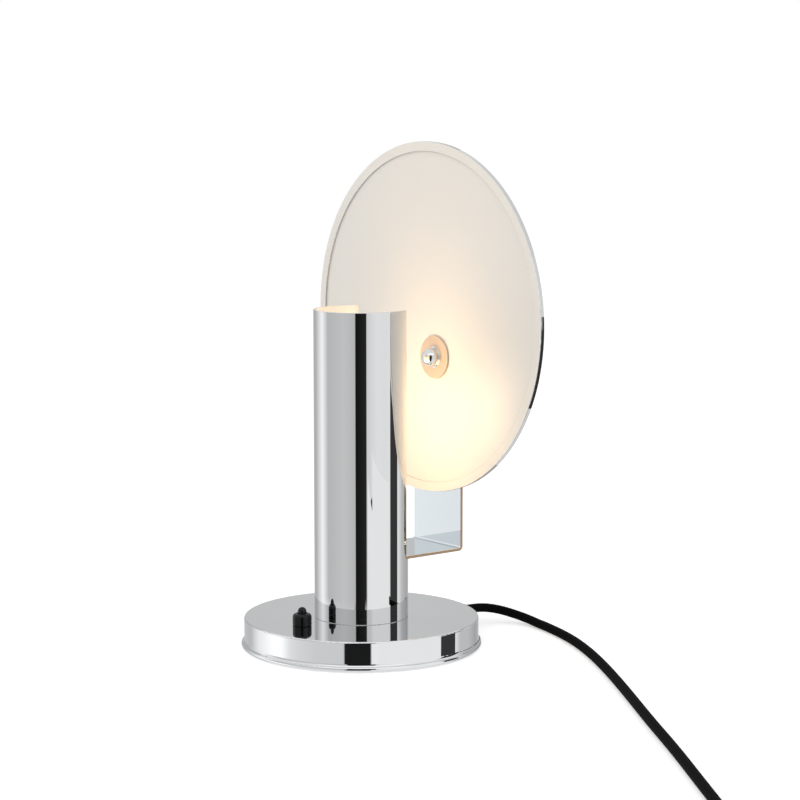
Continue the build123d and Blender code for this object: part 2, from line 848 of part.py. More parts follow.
def plug_relief():
    length = plug_relief_length
    sleeve_part = turned([(0, 0), (plug_relief_tip, 0), (plug_relief_root, length), (0, length)])
    spacing = length / (plug_relief_grooves + 1)
    for groove in range(1, plug_relief_grooves + 1):
        middle = groove * spacing
        outer = plug_relief_tip + (plug_relief_root - plug_relief_tip) * middle / length
        cut = sleeve(outer + overrun, outer - plug_groove_depth, middle - plug_groove_width / 2,
                     middle + plug_groove_width / 2)
        sleeve_part -= cut
    return plug_place * Rot(0, 90, 0) * sleeve_part


def plug_body():
    shoulder = plug_length * plug_shoulder_share
    half_neck = plug_neck_width / 2
    half_width = plug_width / 2
    outline = make_face(Polyline(
        (0, -half_neck), (shoulder, -half_width), (plug_length, -half_width), (plug_length, half_width),
        (shoulder, half_width), (0, half_neck), close=True))
    body = extrude(outline, plug_thickness / 2, both=True)
    body = fillet(body.edges(), plug_round)
    return plug_place * Pos(plug_relief_length, 0, 0) * body


def plug_pins():
    pins = []
    for side in (-1, 1):
        pin = column(plug_pin_radius, 0, plug_pin_length - plug_pin_radius)
        pin += Pos(0, 0, plug_pin_length - plug_pin_radius) * Sphere(plug_pin_radius)
        seat = Pos(plug_relief_length + plug_length, side * plug_pin_spacing / 2, 0)
        pins.append(plug_place * seat * Rot(0, 90, 0) * pin)
    return Compound(pins)


pieces = {
    "felt_pad": felt_pad(),
    "base_cover": base_cover(),
    "cover_screws": cover_screws(),
    "base_weight": base_weight(),
    "base_shell": base_shell(),
    "base_washer": base_washer(),
    "base_nut": rod_nut(base_nut_low, base_washer_low),
    "centre_rod": centre_rod(),
    "lamp_tube": lamp_tube(),
    "tube_plug": tube_plug(),
    "plug_nut": rod_nut(plug_high, plug_high + nut_height),
    "leg_nut": rod_nut(leg_low - nut_height, leg_low),
    "bracket": bracket(),
    "holder_base": holder_base(),
    "holder_nut": rod_nut(holder_floor_high, holder_floor_high + holder_nut_height),
    "holder_shell": holder_shell(),
    "holder_insert": holder_insert(),
    "holder_thread": holder_thread(),
    "holder_contact": holder_contact(),
    "bulb_cap": bulb_cap(),
    "bulb_glass": bulb_glass(),
    "disc_plate": disc_plate(),
    "disc_rim": disc_rim(),
    "pivot_stud": pivot_stud(),
    "rear_washer": pin_washer(rear_washer_radius, plate_back, strip_front),
    "soft_washer": pin_washer(soft_washer_radius, front_washer_back, plate_front),
    "front_washer": front_washer(),
    "dome_nut": dome_nut(),
    "back_washer": pin_washer(back_washer_radius, strip_back, spring_washer_front),
    "spring_washer": spring_washer(),
    "back_nut": back_nut(),
    "switch_body": switch_body(),
    "switch_base": switch_base(),
    "switch_cap": switch_cap(),
    "switch_button": switch_button(),
    "switch_spring": switch_spring(),
    "switch_terminals": switch_terminals(),
    "cord_relief": cord_relief(),
    "inner_cord": inner_cord(),
    "cord_clamp": cord_clamp(),
    "clamp_screws": clamp_screws(),
    "lead_neutral": lead_neutral(),
    "lead_switched": lead_switched(),
    "lead_live": lead_live(),
    "mains_cord": mains_cord(),
    "cord_coil": cord_coil(),
    "cord_tie": cord_tie(),
    "plug_relief": plug_relief(),
    "plug_body": plug_body(),
    "plug_pins": plug_pins(),
}

coil_samples = 900
print("least gap in the coil", round(least_self_gap(coil_wire, 2 * cord_radius, coil_samples), 2))
os.makedirs("parts", exist_ok=True)
for name, piece in pieces.items():
    export_step(piece, f"parts/{name}.step")
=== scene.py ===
import math

import bpy
from mathutils import Matrix, Vector


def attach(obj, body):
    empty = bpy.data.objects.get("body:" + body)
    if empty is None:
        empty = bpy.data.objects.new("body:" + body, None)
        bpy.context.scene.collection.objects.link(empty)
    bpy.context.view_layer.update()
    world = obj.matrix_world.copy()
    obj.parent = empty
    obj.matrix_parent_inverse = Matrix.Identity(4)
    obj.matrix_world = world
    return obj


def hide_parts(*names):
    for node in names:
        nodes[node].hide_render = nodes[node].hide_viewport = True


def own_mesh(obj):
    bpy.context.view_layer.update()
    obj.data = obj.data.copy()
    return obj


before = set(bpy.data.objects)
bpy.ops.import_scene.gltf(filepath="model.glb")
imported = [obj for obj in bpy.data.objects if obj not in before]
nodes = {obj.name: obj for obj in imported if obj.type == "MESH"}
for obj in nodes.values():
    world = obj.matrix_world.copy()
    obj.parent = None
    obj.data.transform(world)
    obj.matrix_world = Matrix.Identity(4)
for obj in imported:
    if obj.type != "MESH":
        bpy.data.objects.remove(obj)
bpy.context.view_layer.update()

scene = bpy.context.scene
scene.view_settings.view_transform = "Standard"
print("frame loaded with", len(nodes), "nodes")


# the camera stands where the picture was taken from
cameraSetup = {
    "place": (1.10541, -0.84334, 0.33499),
    "turn": (82.74, 0.0, 51.64),
    "lens": 99.6,
    "sensor": 36.0,
    "clip": (0.05, 50.0),
}


def addCamera(setup):
    lens = bpy.data.cameras.new("camera")
    lens.lens = setup["lens"]
    lens.sensor_width = setup["sensor"]
    lens.clip_start, lens.clip_end = setup["clip"]
    holder = bpy.data.objects.new("camera", lens)
    holder.location = setup["place"]
    holder.rotation_euler = [math.radians(angle) for angle in setup["turn"]]
    scene.collection.objects.link(holder)
    scene.camera = holder


addCamera(cameraSetup)
print("camera placed")


# mains cord: free run on the table, then a tied coil of two layers
mainsCord = {
    "exit": (0.0, 0.087, 0.0105),
    "route": [
        (0.0, 0.087, 0.0105), (0.0, 0.0967, 0.0105), (0.0032, 0.1058, 0.0096), (0.009, 0.1132, 0.0076),
        (0.0171, 0.1181, 0.0054), (0.0264, 0.12, 0.0039), (0.037, 0.1187, 0.0032),
        (0.0478, 0.1167, 0.0031), (0.0692, 0.1109, 0.0031), (0.0906, 0.1031, 0.0031),
        (0.1175, 0.0903, 0.0031), (0.1483, 0.0732, 0.0031), (0.1822, 0.0528, 0.0031),
        (0.218, 0.0304, 0.0031), (0.2558, 0.0065, 0.0031), (0.3036, -0.0227, 0.0031),
        (0.3554, -0.0561, 0.0031), (0.4012, -0.0859, 0.0036),
    ],
    "coilMiddle": (0.4749, -0.0894),
    "coilTurn": 52.6,
    "leadIn": [(-0.0423, 0.033), (-0.0423, 0.006)],
    "lowerEnds": [-0.0423, 0.0390, -0.0357, 0.0324, -0.0291, 0.0246],
    "upperEnds": [-0.0246, 0.0291, -0.0324, 0.0357, -0.0390, 0.0423, -0.0456],
    "lowerHeight": 0.0042,
    "upperHeight": 0.0108,
    "lastQuarter": (-0.0456, -0.04725),
    "tail": [
        (0.012, -0.0479, 0.0106), (0.032, -0.04915, 0.00895),
        (0.064, -0.050, 0.0071), (0.070, -0.050, 0.0071),
    ],
    "stepsPerHalfTurn": 8,
    "stepsPerPoint": 12,
    "length": 1.963,
    "diameter": 0.006,
    "sleeve": {
        "Radius": 0.0029,
        "Ring Spacing": 0.00075,
        "Sides": 32,
        "Bumps Around": 8,
        "Bump Length": 0.003,
        "Bump Height": 0.00009,
    },
}


def coilPoint(x, y, z):
    turn = math.radians(mainsCord["coilTurn"])
    middle = mainsCord["coilMiddle"]
    return (middle[0] + x * math.cos(turn) - y * math.sin(turn),
            middle[1] + x * math.sin(turn) + y * math.cos(turn), z)


def halfTurn(startX, endX, startZ, endZ):
    steps = mainsCord["stepsPerHalfTurn"]
    middle = (startX + endX) / 2
    reach = (startX - endX) / 2 / math.cos(math.pi / steps / 2)  # the line passes inside its points
    made = []
    for step in range(steps):
        share = (step + 0.5) / steps
        angle = math.pi * share
        made.append(coilPoint(middle + reach * math.cos(angle), reach * math.sin(angle),
                              startZ + (endZ - startZ) * share))
    return made


def cordPoints():
    low, high = mainsCord["lowerHeight"], mainsCord["upperHeight"]
    points = list(mainsCord["route"])
    points += [coilPoint(x, y, low) for x, y in mainsCord["leadIn"]]
    for start, end in zip(mainsCord["lowerEnds"], mainsCord["lowerEnds"][1:]):
        points += halfTurn(start, end, low, low)
    points += halfTurn(mainsCord["lowerEnds"][-1], mainsCord["upperEnds"][0], low, high)  # the climb
    for start, end in zip(mainsCord["upperEnds"], mainsCord["upperEnds"][1:]):
        points += halfTurn(start, end, high, high)
    acrossX, acrossY = mainsCord["lastQuarter"]
    steps = mainsCord["stepsPerHalfTurn"]
    outward = 1 / math.cos(math.pi / steps / 2)
    for step in range(steps // 2):
        angle = math.pi * (step + 0.5) / steps
        x, y = acrossX * outward * math.cos(angle), acrossY * outward * math.sin(angle)
        points.append(coilPoint(x, y, high))
    points += [coilPoint(*place) for place in mainsCord["tail"]]
    return points


def routeLine(points):
    curve = bpy.data.curves.new("cordRoute", "CURVE")
    curve.dimensions = "3D"
    curve.resolution_u = mainsCord["stepsPerPoint"]
    spline = curve.splines.new("NURBS")
    spline.points.add(len(points) - 1)
    for point, place in zip(spline.points, points):
        point.co = (*place, 1.0)
    spline.order_u = 3
    spline.use_endpoint_u = True
    holder = bpy.data.objects.new("cordRoute", curve)
    scene.collection.objects.link(holder)
    bpy.context.view_layer.update()
    line = bpy.data.meshes.new_from_object(holder.evaluated_get(bpy.context.evaluated_depsgraph_get()))
    bpy.data.objects.remove(holder)
    return line


def addNode(tree, kind, **settings):
    node = tree.nodes.new(kind)
    for key, value in settings.items():
        setattr(node, key, value)
    return node


def addMath(tree, operation, *values):
    node = addNode(tree, "ShaderNodeMath", operation=operation)
    for socket, value in zip(node.inputs, values):
        if isinstance(value, (int, float)):
            socket.default_value = value
        else:
            tree.links.new(value, socket)
    return node.outputs[0]


def newTree(name, floats=(), wholes=()):
    tree = bpy.data.node_groups.new(name, "GeometryNodeTree")
    tree.interface.new_socket("Geometry", in_out="INPUT", socket_type="NodeSocketGeometry")
    for label in floats:
        tree.interface.new_socket(label, in_out="INPUT", socket_type="NodeSocketFloat")
    for label in wholes:
        tree.interface.new_socket(label, in_out="INPUT", socket_type="NodeSocketInt")
    tree.interface.new_socket("Material", in_out="INPUT", socket_type="NodeSocketMaterial")
    tree.interface.new_socket("Geometry", in_out="OUTPUT", socket_type="NodeSocketGeometry")
    return tree, addNode(tree, "NodeGroupInput").outputs


def closeTree(tree, geometry, material):
    join = tree.links.new
    realized = addNode(tree, "GeometryNodeRealizeInstances")
    painted = addNode(tree, "GeometryNodeSetMaterial")
    join(geometry, realized.inputs["Geometry"])
    join(realized.outputs["Geometry"], painted.inputs["Geometry"])
    join(material, painted.inputs["Material"])
    join(painted.outputs["Geometry"], addNode(tree, "NodeGroupOutput").inputs["Geometry"])


def growMesh(name, seed, tree, sizes):
    holder = bpy.data.objects.new(name, seed)
    scene.collection.objects.link(holder)
    grown = holder.modifiers.new("grow", "NODES")
    grown.node_group = tree
    for item in tree.interface.items_tree:
        if item.in_out == "INPUT" and item.name in sizes:
            grown[item.identifier] = sizes[item.name]
    bpy.context.view_layer.update()
    plain = bpy.data.meshes.new_from_object(holder.evaluated_get(bpy.context.evaluated_depsgraph_get()))
    plain.name = name
    holder.modifiers.remove(grown)
    holder.data = plain
    return holder


def sleeveTree():
    lengths = ("Radius", "Ring Spacing", "Bump Length", "Bump Height")
    tree, given = newTree("braidedSleeve", lengths, ("Sides", "Bumps Around"))
    join = tree.links.new
    line = addNode(tree, "GeometryNodeMeshToCurve")
    rings = addNode(tree, "GeometryNodeResampleCurve", mode="LENGTH")
    along = addNode(tree, "GeometryNodeCaptureAttribute", domain="POINT")
    along.capture_items.new("FLOAT", "along")
    ringTurn = addNode(tree, "GeometryNodeCurvePrimitiveCircle", mode="RADIUS")
    share = addNode(tree, "GeometryNodeCaptureAttribute", domain="POINT")
    share.capture_items.new("FLOAT", "share")
    place = addNode(tree, "GeometryNodeSplineParameter")
    tube = addNode(tree, "GeometryNodeCurveToMesh")
    tube.inputs["Fill Caps"].default_value = True
    join(given["Geometry"], line.inputs["Mesh"])
    join(line.outputs["Curve"], rings.inputs["Curve"])
    join(given["Ring Spacing"], rings.inputs["Length"])
    join(rings.outputs["Curve"], along.inputs["Geometry"])
    join(place.outputs["Length"], along.inputs[1])
    join(given["Sides"], ringTurn.inputs["Resolution"])
    join(given["Radius"], ringTurn.inputs["Radius"])
    join(ringTurn.outputs["Curve"], share.inputs["Geometry"])
    join(place.outputs["Factor"], share.inputs[1])
    join(along.outputs["Geometry"], tube.inputs["Curve"])
    join(share.outputs["Geometry"], tube.inputs["Profile Curve"])
    # raised yarns in a diamond lattice
    turn = addMath(tree, "MULTIPLY", share.outputs[1], math.tau)
    waveRound = addMath(tree, "COSINE", addMath(tree, "MULTIPLY", turn, given["Bumps Around"]))
    bumpsAlong = addMath(tree, "DIVIDE", along.outputs[1], given["Bump Length"])
    waveAlong = addMath(tree, "COSINE", addMath(tree, "MULTIPLY", bumpsAlong, math.tau))
    lift = addMath(tree, "MULTIPLY", addMath(tree, "MULTIPLY", waveRound, waveAlong), given["Bump Height"])
    push = addNode(tree, "ShaderNodeVectorMath", operation="SCALE")
    moved = addNode(tree, "GeometryNodeSetPosition")
    join(addNode(tree, "GeometryNodeInputNormal").outputs["Normal"], push.inputs[0])
    join(lift, push.inputs["Scale"])
    join(tube.outputs["Mesh"], moved.inputs["Geometry"])
    join(push.outputs[0], moved.inputs["Offset"])
    # place round and along the cord, for the cloth's own pattern
    kept = addNode(tree, "GeometryNodeStoreNamedAttribute", data_type="FLOAT_VECTOR", domain="POINT")
    kept.inputs["Name"].default_value = "weave"
    packed = addNode(tree, "ShaderNodeCombineXYZ")
    join(addMath(tree, "COSINE", turn), packed.inputs[0])
    join(addMath(tree, "SINE", turn), packed.inputs[1])
    join(along.outputs[1], packed.inputs[2])
    join(moved.outputs["Geometry"], kept.inputs["Geometry"])
    join(packed.outputs[0], kept.inputs["Value"])
    closeTree(tree, kept.outputs["Geometry"], given["Material"])
    return tree


# finishes: every one is a node material on Object coordinates or the piece's own attribute
def newFinish(name, **shader):
    material = bpy.data.materials.new(name)
    material.use_nodes = True
    surface = material.node_tree.nodes["Principled BSDF"]
    for label, value in shader.items():
        socket = surface.inputs[label.replace("_", " ")]
        isColour = isinstance(value, tuple) and len(value) == 3 and len(socket.default_value) == 4
        socket.default_value = (*value, 1.0) if isColour else value
    return material, material.node_tree, surface


noiseSetup = {"wideDetail": 3.0, "fineDetail": 2.0, "lowest": 0.3, "highest": 0.7}


def blotches(tree, scale, detail, stretch=(1, 1, 1)):
    where = addNode(tree, "ShaderNodeTexCoord")
    mapping = addNode(tree, "ShaderNodeMapping")
    mapping.inputs["Scale"].default_value = stretch
    noise = addNode(tree, "ShaderNodeTexNoise")
    noise.inputs["Scale"].default_value = scale
    noise.inputs["Detail"].default_value = detail
    tree.links.new(where.outputs["Object"], mapping.inputs["Vector"])
    tree.links.new(mapping.outputs["Vector"], noise.inputs["Vector"])
    return noise.outputs["Fac"]


def between(tree, factor, low, high):
    spread = addNode(tree, "ShaderNodeMapRange")
    spread.inputs["From Min"].default_value = noiseSetup["lowest"]
    spread.inputs["From Max"].default_value = noiseSetup["highest"]
    spread.inputs["To Min"].default_value = low
    spread.inputs["To Max"].default_value = high
    tree.links.new(factor, spread.inputs["Value"])
    return spread.outputs["Result"]


def tint(tree, factor, first, second):
    ramp = addNode(tree, "ShaderNodeValToRGB")
    low, high = ramp.color_ramp.elements
    low.position, high.position = noiseSetup["lowest"], noiseSetup["highest"]
    low.color, high.color = (*first, 1.0), (*second, 1.0)
    tree.links.new(factor, ramp.inputs["Fac"])
    return ramp.outputs["Color"]


def raiseBump(tree, surface, height, strength, distance):
    bump = addNode(tree, "ShaderNodeBump")
    bump.inputs["Strength"].default_value = strength
    bump.inputs["Distance"].default_value = distance
    tree.links.new(height, bump.inputs["Height"])
    tree.links.new(bump.outputs["Normal"], surface.inputs["Normal"])


def grainFinish(name, look):
    material, tree, surface = newFinish(name, **look.get("shader", {}))
    stretch = look.get("stretch", (1, 1, 1))
    wide = blotches(tree, look["wide"], noiseSetup["wideDetail"], stretch)
    fine = blotches(tree, look["fine"], noiseSetup["fineDetail"], stretch)
    tree.links.new(tint(tree, wide, *look["colours"]), surface.inputs["Base Color"])
    tree.links.new(between(tree, wide, *look["roughness"]), surface.inputs["Roughness"])
    raiseBump(tree, surface, fine, look["strength"], look["depth"])
    return material


finishes = {}
plainLooks = {
    "felt": {
        "colours": ((0.012, 0.012, 0.013), (0.03, 0.03, 0.031)),
        "wide": 60, "fine": 1800, "roughness": (0.9, 1.0), "strength": 0.8, "depth": 0.0004,
        "shader": {"Sheen_Weight": 0.4},
    },
    "cover_steel": {
        "colours": ((0.5, 0.51, 0.52), (0.6, 0.61, 0.62)),
        "wide": 40, "fine": 900, "roughness": (0.28, 0.42), "strength": 0.1, "depth": 0.0001,
        "stretch": (1, 12, 1),
        "shader": {"Metallic": 1.0},
    },
    "plated_steel": {
        "colours": ((0.55, 0.55, 0.54), (0.66, 0.66, 0.64)),
        "wide": 120, "fine": 2500, "roughness": (0.18, 0.3), "strength": 0.08, "depth": 0.00005,
        "shader": {"Metallic": 1.0},
    },
    "cast_iron": {
        "colours": ((0.03, 0.03, 0.031), (0.07, 0.068, 0.066)),
        "wide": 80, "fine": 900, "roughness": (0.55, 0.8), "strength": 0.7, "depth": 0.0004,
        "shader": {"Metallic": 0.6},
    },
    "chrome": {
        "colours": ((0.665, 0.68, 0.69), (0.685, 0.7, 0.71)),
        "wide": 18, "fine": 300, "roughness": (0.015, 0.035), "strength": 0.004, "depth": 0.00002,
        "shader": {"Metallic": 1.0},
    },
    "satin_nickel": {
        # partly painted light: the peach tone is the washer's satin metal with the bulb's warm light painted
        # in
        "colours": ((0.65, 0.51, 0.39), (0.68, 0.535, 0.41)),
        "wide": 150, "fine": 3000, "roughness": (0.5, 0.6), "strength": 0.06, "depth": 0.00003,
        "shader": {"Metallic": 0.35},
    },
    "holder_plastic": {
        "colours": ((0.62, 0.6, 0.56), (0.68, 0.66, 0.62)),
        "wide": 70, "fine": 1500, "roughness": (0.35, 0.5), "strength": 0.12, "depth": 0.0001,
    },
    "porcelain": {
        "colours": ((0.76, 0.74, 0.7), (0.82, 0.8, 0.77)),
        "wide": 90, "fine": 500, "roughness": (0.08, 0.2), "strength": 0.05, "depth": 0.0001,
        "shader": {"Coat_Weight": 0.6},
    },
    "brass": {
        "colours": ((0.6, 0.42, 0.17), (0.72, 0.52, 0.24)),
        "wide": 110, "fine": 1500, "roughness": (0.2, 0.38), "strength": 0.08, "depth": 0.00005,
        "shader": {"Metallic": 1.0},
    },
    "bulb_metal": {
        "colours": ((0.62, 0.61, 0.59), (0.72, 0.71, 0.69)),
        "wide": 160, "fine": 1800, "roughness": (0.22, 0.4), "strength": 0.1, "depth": 0.00005,
        "shader": {"Metallic": 1.0},
    },
    "opal_glass": {
        "colours": ((0.8, 0.78, 0.74), (0.84, 0.82, 0.78)),
        "wide": 60, "fine": 600, "roughness": (0.1, 0.22), "strength": 0.03, "depth": 0.0001,
        "shader": {"Emission_Color": (1.0, 0.715, 0.42), "Emission_Strength": 5.8},
    },
    "white_lacquer": {
        "colours": ((0.795, 0.762, 0.705), (0.8, 0.767, 0.71)),
        "wide": 5, "fine": 700, "roughness": (0.335, 0.35), "strength": 0.03, "depth": 0.0001,
        "shader": {"Specular_IOR_Level": 0.6, "Coat_Weight": 0.2, "Coat_Roughness": 0.28},
    },
    "fibre": {
        "colours": ((0.3, 0.2, 0.13), (0.4, 0.28, 0.19)),
        "wide": 200, "fine": 1500, "roughness": (0.7, 0.9), "strength": 0.3, "depth": 0.0001,
    },
    "black_plastic": {
        "colours": ((0.002, 0.002, 0.0022), (0.004, 0.004, 0.0043)),
        "wide": 150, "fine": 2600, "roughness": (0.09, 0.18), "strength": 0.03, "depth": 0.00005,
        "shader": {"Specular_IOR_Level": 0.25},
    },
    "spring_steel": {
        "colours": ((0.38, 0.38, 0.38), (0.48, 0.48, 0.47)),
        "wide": 200, "fine": 2500, "roughness": (0.25, 0.4), "strength": 0.1, "depth": 0.00005,
        "shader": {"Metallic": 1.0},
    },
    "relief_rubber": {
        "colours": ((0.006, 0.006, 0.006), (0.014, 0.014, 0.014)),
        "wide": 120, "fine": 2200, "roughness": (0.5, 0.68), "strength": 0.2, "depth": 0.0001,
    },
    "lead_pvc": {
        "colours": ((0.02, 0.02, 0.021), (0.035, 0.035, 0.036)),
        "wide": 120, "fine": 1500, "roughness": (0.4, 0.55), "strength": 0.08, "depth": 0.0001,
    },
    "tie_plastic": {
        "colours": ((0.008, 0.008, 0.008), (0.02, 0.02, 0.02)),
        "wide": 150, "fine": 1800, "roughness": (0.45, 0.6), "strength": 0.12, "depth": 0.0001,
    },
    "plug_plastic": {
        "colours": ((0.008, 0.008, 0.0085), (0.016, 0.016, 0.0165)),
        "wide": 90, "fine": 1600, "roughness": (0.38, 0.55), "strength": 0.15, "depth": 0.0001,
    },
    "plug_brass": {
        "colours": ((0.62, 0.58, 0.5), (0.72, 0.68, 0.6)),
        "wide": 140, "fine": 1600, "roughness": (0.18, 0.32), "strength": 0.06, "depth": 0.00005,
        "shader": {"Metallic": 1.0},
    },
}
for slotName, look in plainLooks.items():
    finishes[slotName] = grainFinish(slotName, look)


# chrome with another finish told apart by place: lacquer inside the tube and on the rim's front,
# a flat brown on the strip's cut edges that paints in the warm reflection they show
tubeLook = {
    "wallRadius": 0.0299,
    "chrome": (0.68, 0.686, 0.692),
    "other": (0.82, 0.785, 0.725),
    "otherRoughness": 0.45,
    "chromeRoughness": (0.015, 0.035),
}
stripLook = {
    "halfWidth": 0.02385,
    # painted reflection: the blue tint of the strip's chrome carries the cool light it mirrors
    "chrome": (0.61, 0.65, 0.672),
    # painted reflection: this brown on the strip's cut edges stands in for the warm light they mirror
    "other": (0.44, 0.29, 0.175),
    "otherRoughness": 0.45,
    "chromeRoughness": (0.02, 0.05),
}
rimLook = {
    "middle": (-0.01046, 0.0, 0.2063),
    "frontDepth": 0.05985,
    "innerRadius": 0.1078,
    "outerRadius": 0.1136,
    "chrome": (0.565, 0.57, 0.575),
    "other": (0.82, 0.785, 0.725),
    "otherRoughness": 0.34,
    "chromeRoughness": (0.015, 0.035),
}
polish = {"wide": 18, "fine": 300, "strength": 0.004, "depth": 0.00002}


def distanceFrom(tree, middle, dropped):
    where = addNode(tree, "ShaderNodeTexCoord")
    apart = addNode(tree, "ShaderNodeSeparateXYZ")
    tree.links.new(where.outputs["Object"], apart.inputs["Vector"])
    offsets = [addMath(tree, "SUBTRACT", apart.outputs[axis], middle["XYZ".index(axis)])
               for axis in "XYZ" if axis != dropped]
    squares = [addMath(tree, "MULTIPLY", offset, offset) for offset in offsets]
    return addMath(tree, "SQRT", addMath(tree, "ADD", *squares)), apart.outputs[dropped]


def twoToneAndPaintedEdgeFinish(name, look, findChrome):
    material, tree, surface = newFinish(name)
    join = tree.links.new
    chromed = findChrome(tree, look)
    colour = addNode(tree, "ShaderNodeMix", data_type="RGBA")
    join(chromed, colour.inputs["Factor"])
    colour.inputs[6].default_value = (*look["other"], 1.0)
    colour.inputs[7].default_value = (*look["chrome"], 1.0)
    gloss = addNode(tree, "ShaderNodeMix", data_type="FLOAT")
    join(chromed, gloss.inputs["Factor"])
    gloss.inputs[2].default_value = look["otherRoughness"]
    wide = blotches(tree, polish["wide"], noiseSetup["wideDetail"])
    join(between(tree, wide, *look["chromeRoughness"]), gloss.inputs[3])
    join(colour.outputs[2], surface.inputs["Base Color"])
    join(chromed, surface.inputs["Metallic"])
    join(gloss.outputs[0], surface.inputs["Roughness"])
    fine = blotches(tree, polish["fine"], noiseSetup["fineDetail"])
    raiseBump(tree, surface, fine, polish["strength"], polish["depth"])
    return material


def tubeChrome(tree, look):
    distance = distanceFrom(tree, (0.0, 0.0, 0.0), "Z")[0]
    return addMath(tree, "GREATER_THAN", distance, look["wallRadius"])


def rimChrome(tree, look):
    distance, depth = distanceFrom(tree, look["middle"], "Y")
    behind = addMath(tree, "GREATER_THAN", depth, look["frontDepth"])
    outside = addMath(tree, "GREATER_THAN", distance, look["outerRadius"])
    inside = addMath(tree, "LESS_THAN", distance, look["innerRadius"])
    return addMath(tree, "MAXIMUM", behind, addMath(tree, "MAXIMUM", outside, inside))


def stripChrome(tree, look):
    where = addNode(tree, "ShaderNodeTexCoord")
    apart = addNode(tree, "ShaderNodeSeparateXYZ")
    tree.links.new(where.outputs["Object"], apart.inputs["Vector"])
    return addMath(tree, "LESS_THAN", addMath(tree, "ABSOLUTE", apart.outputs["X"]), look["halfWidth"])


finishes["chrome_strip"] = twoToneAndPaintedEdgeFinish("chrome_strip", stripLook, stripChrome)
finishes["chrome_tube"] = twoToneAndPaintedEdgeFinish("chrome_tube", tubeLook, tubeChrome)
finishes["chrome_rim"] = twoToneAndPaintedEdgeFinish("chrome_rim", rimLook, rimChrome)


# cord cloth: fine crossed yarns from the sleeve's own attribute
clothLook = {
    "yarns": 24.0,
    "pitch": 0.0026,
    "dark": (0.001, 0.001, 0.0011),
    "light": (0.004, 0.0038, 0.004),
    "strength": 0.6,
    "depth": 0.0001,
    "shader": {"Roughness": 0.9, "Specular_IOR_Level": 0.06, "Sheen_Weight": 0.01, "Sheen_Roughness": 0.4},
}


def clothFinish(look):
    material, tree, surface = newFinish("cord_textile", **look["shader"])
    weave = addNode(tree, "ShaderNodeAttribute", attribute_name="weave")
    apart = addNode(tree, "ShaderNodeSeparateXYZ")
    tree.links.new(weave.outputs["Vector"], apart.inputs["Vector"])
    turn = addMath(tree, "ARCTAN2", apart.outputs["Y"], apart.outputs["X"])
    ringTurn = addMath(tree, "MULTIPLY", turn, look["yarns"])
    along = addMath(tree, "MULTIPLY", apart.outputs["Z"], math.tau / look["pitch"])
    leftYarn = addMath(tree, "SINE", addMath(tree, "ADD", ringTurn, along))
    rightYarn = addMath(tree, "SINE", addMath(tree, "SUBTRACT", ringTurn, along))
    height = addMath(tree, "MULTIPLY_ADD", addMath(tree, "MULTIPLY", leftYarn, rightYarn), 0.5, 0.5)
    tree.links.new(tint(tree, height, look["dark"], look["light"]), surface.inputs["Base Color"])
    raiseBump(tree, surface, height, look["strength"], look["depth"])
    return material


finishes["cord_textile"] = clothFinish(clothLook)
for piece in nodes.values():
    slotName = piece.material_slots[0].material.name.split(".")[0]
    piece.material_slots[0].material = finishes[slotName]
print("finishes on", len(nodes), "nodes")


def addCord():
    line = routeLine(cordPoints())
    sizes = dict(mainsCord["sleeve"], Material=finishes["cord_textile"])
    flex = growMesh("mains_flex", line, sleeveTree(), sizes)
    flex.data.polygons.foreach_set("use_smooth", [True] * len(flex.data.polygons))
    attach(flex, "lamp")
    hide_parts("mains_cord", "cord_coil")
    return flex


flex = addCord()
print("cord", len(flex.data.polygons), "faces")


# return spring under the switch button, standing on its foot
returnSpring = {
    "foot": (0.0, -0.0468, 0.009),
    "pressedShare": 0.43,
    "coil": {
        "Coil Radius": 0.0026,
        "Coil Rise": 0.0047,
        "Wire Radius": 0.0003,
        "Turns": 3.0,
        "Steps Per Turn": 32,
        "Sides": 12,
    },
}


def springTree():
    amounts = ("Coil Radius", "Coil Rise", "Wire Radius", "Turns")
    tree, given = newTree("coilSpring", amounts, ("Steps Per Turn", "Sides"))
    join = tree.links.new
    helix = addNode(tree, "GeometryNodeCurveSpiral")
    section = addNode(tree, "GeometryNodeCurvePrimitiveCircle", mode="RADIUS")
    tube = addNode(tree, "GeometryNodeCurveToMesh")
    tube.inputs["Fill Caps"].default_value = True
    join(given["Steps Per Turn"], helix.inputs["Resolution"])
    join(given["Turns"], helix.inputs["Rotations"])
    join(given["Coil Radius"], helix.inputs["Start Radius"])
    join(given["Coil Radius"], helix.inputs["End Radius"])
    join(given["Coil Rise"], helix.inputs["Height"])
    join(given["Sides"], section.inputs["Resolution"])
    join(given["Wire Radius"], section.inputs["Radius"])
    join(helix.outputs["Curve"], tube.inputs["Curve"])
    join(section.outputs["Curve"], tube.inputs["Profile Curve"])
    closeTree(tree, tube.outputs["Mesh"], given["Material"])
    return tree


def addSpring():
    sizes = dict(returnSpring["coil"], Material=finishes["spring_steel"])
    spring = growMesh("return_spring", bpy.data.meshes.new("springSeed"), springTree(), sizes)
    foot = Vector(returnSpring["foot"])
    lift = Vector((0.0, 0.0, returnSpring["coil"]["Wire Radius"]))
    spring.data.transform(Matrix.Translation(foot + lift))
    spring.data.polygons.foreach_set("use_smooth", [True] * len(spring.data.polygons))
    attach(spring, "lamp")
    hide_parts("switch_spring")
    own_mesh(spring)
    return spring


spring = addSpring()
print("spring", len(spring.data.polygons), "faces")


